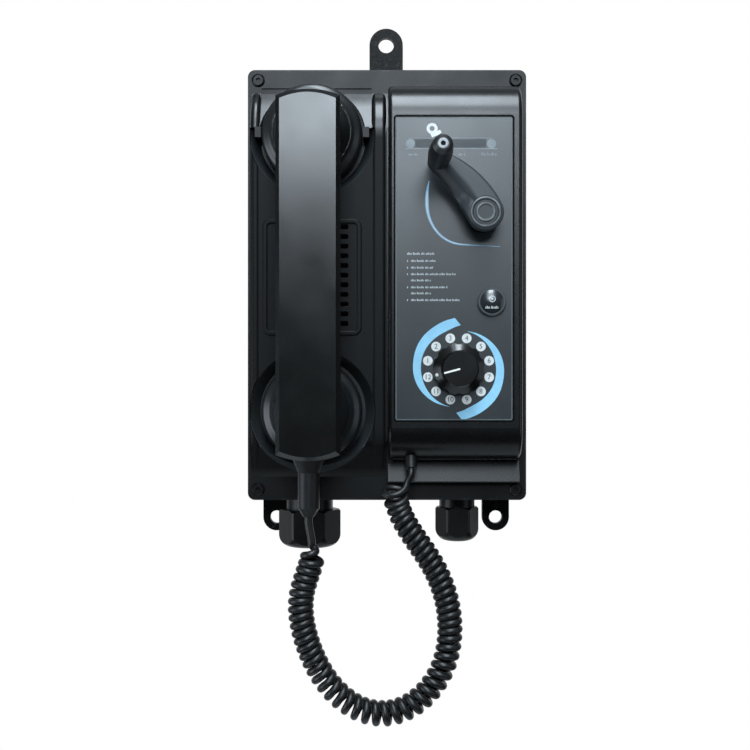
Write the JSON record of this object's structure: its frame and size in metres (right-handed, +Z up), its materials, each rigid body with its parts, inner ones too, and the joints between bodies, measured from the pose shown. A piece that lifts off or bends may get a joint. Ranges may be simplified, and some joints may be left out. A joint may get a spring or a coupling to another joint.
{
  "type": "sound-powered telephone",
  "caption": "Wall-mounted sealed telephone with a corded handset in a cradle, a hand-cranked call generator, a call button and a rotary station selector.",
  "frame": {"origin": "centre of the case's flat back, on the wall plane", "axes": "+Z up the wall, +Y into the wall, so the front faces -Y and +X is to the viewer's right"},
  "size_m": [0.167, 0.1499, 0.4211],
  "materials": {
    "case_paint": "rough black enamel on a cast case",
    "cover_moulding": "fine-grained black moulding",
    "handset_moulding": "satin black moulding",
    "panel_film": "printed grey film",
    "knob_moulding": "polished black moulding",
    "pointer_paint": "white fill",
    "black_steel": "blackened steel",
    "bright_steel": "turned steel",
    "plate_steel": "zinc-plated sheet",
    "lamination_steel": "stacked laminations",
    "magnet": "sintered magnet",
    "turned_brass": "turned brass",
    "copper_winding": "enamelled copper wire",
    "black_rubber": "matt black rubber",
    "grey_rubber": "grey silicone rubber",
    "cord_jacket": "satin black cord jacket",
    "gland_nylon": "black nylon",
    "film": "thin amber film",
    "board_laminate": "glass-fibre board",
    "terminal_moulding": "pale thermoset",
    "switch_moulding": "brown phenolic",
    "capsule_aluminium": "anodised shell"
  },
  "bodies": {
    "housing": {"button_bezel": "cover_moulding", "button_switch": "switch_moulding", "case_gasket": "grey_rubber", "circuit_board": "board_laminate", "cord_grommet": "black_rubber", "cover_screws": "black_steel", "cradle_catches": "black_rubber", "crank_bearing": "black_steel", "crank_seal": "black_rubber", "curly_cord": "cord_jacket", "faceplate": "panel_film", "front_cover": "cover_moulding", "generator_front_plate": "plate_steel", "generator_rear_plate": "plate_steel", "generator_screws": "bright_steel", "generator_spacers": "turned_brass", "hook_switch": "cover_moulding", "left_gland_body": "gland_nylon", "left_gland_locknut": "gland_nylon", "left_gland_nut": "gland_nylon", "left_gland_seal": "grey_rubber", "rear_case": "case_paint", "right_gland_body": "gland_nylon", "right_gland_locknut": "gland_nylon", "right_gland_nut": "gland_nylon", "right_gland_seal": "grey_rubber", "rotor_bushes": "turned_brass", "selector_nut": "bright_steel", "selector_switch": "switch_moulding", "sounder_coil": "magnet", "sounder_diaphragm": "film", "sounder_housing": "cover_moulding", "stator_coils": "copper_winding", "stator_core": "lamination_steel", "terminal_block": "terminal_moulding", "terminal_screws": "turned_brass"},
    "handset": {"handset_handle": "handset_moulding", "ear_cap": "handset_moulding", "mouth_cap": "handset_moulding", "receiver_capsule": "capsule_aluminium", "transmitter_capsule": "capsule_aluminium", "capsule_gaskets": "grey_rubber", "hook_magnet": "magnet", "handset_boot": "black_rubber"},
    "crank": {"crank_shaft": "bright_steel", "drive_gear": "turned_brass", "crank_arm": "handset_moulding", "crank_screw": "bright_steel", "crank_cap": "handset_moulding", "grip_pin": "bright_steel", "grip_screw": "bright_steel"},
    "grip": {"crank_grip": "knob_moulding"},
    "rotor": {"rotor_shaft": "bright_steel", "rotor_magnet": "magnet", "pinion": "turned_brass"},
    "selector": {"selector_shaft": "bright_steel", "selector_knob": "knob_moulding", "knob_pointer": "pointer_paint", "knob_screw": "bright_steel"},
    "button": {"call_button": "knob_moulding"}
  },
  "joints": [
    {"name": "handset_lift", "type": "slide", "parent": "housing", "child": "handset", "axis": [0, -1, 0], "range_m": [0, 0.1]},
    {"name": "crank_turn", "type": "hinge", "parent": "housing", "child": "crank", "pos_m": [0.055, -0.1, 0.0377], "axis": [0, -1, 0], "continuous": true},
    {"name": "grip_spin", "type": "hinge", "parent": "crank", "child": "grip", "pos_m": [0.02838, -0.12, 0.06675], "axis": [0, -1, 0], "continuous": true},
    {"name": "rotor_spin", "type": "hinge", "parent": "housing", "child": "rotor", "pos_m": [0.0434, -0.03, 0.01761], "axis": [0, -1, 0], "continuous": true},
    {"name": "selector_turn", "type": "hinge", "parent": "housing", "child": "selector", "pos_m": [0.0412, -0.09, -0.0505], "axis": [0, -1, 0], "range_deg": [0, 330]},
    {"name": "button_press", "type": "slide", "parent": "housing", "child": "button", "axis": [0, 1, 0], "range_m": [0, 0.0025], "stiffness_N_per_m": 400, "springref_m": -0.002}
  ],
  "couplings": [
    {"joint": "rotor_spin", "follows": "crank_turn", "ratio": -3.8333}
  ]
}
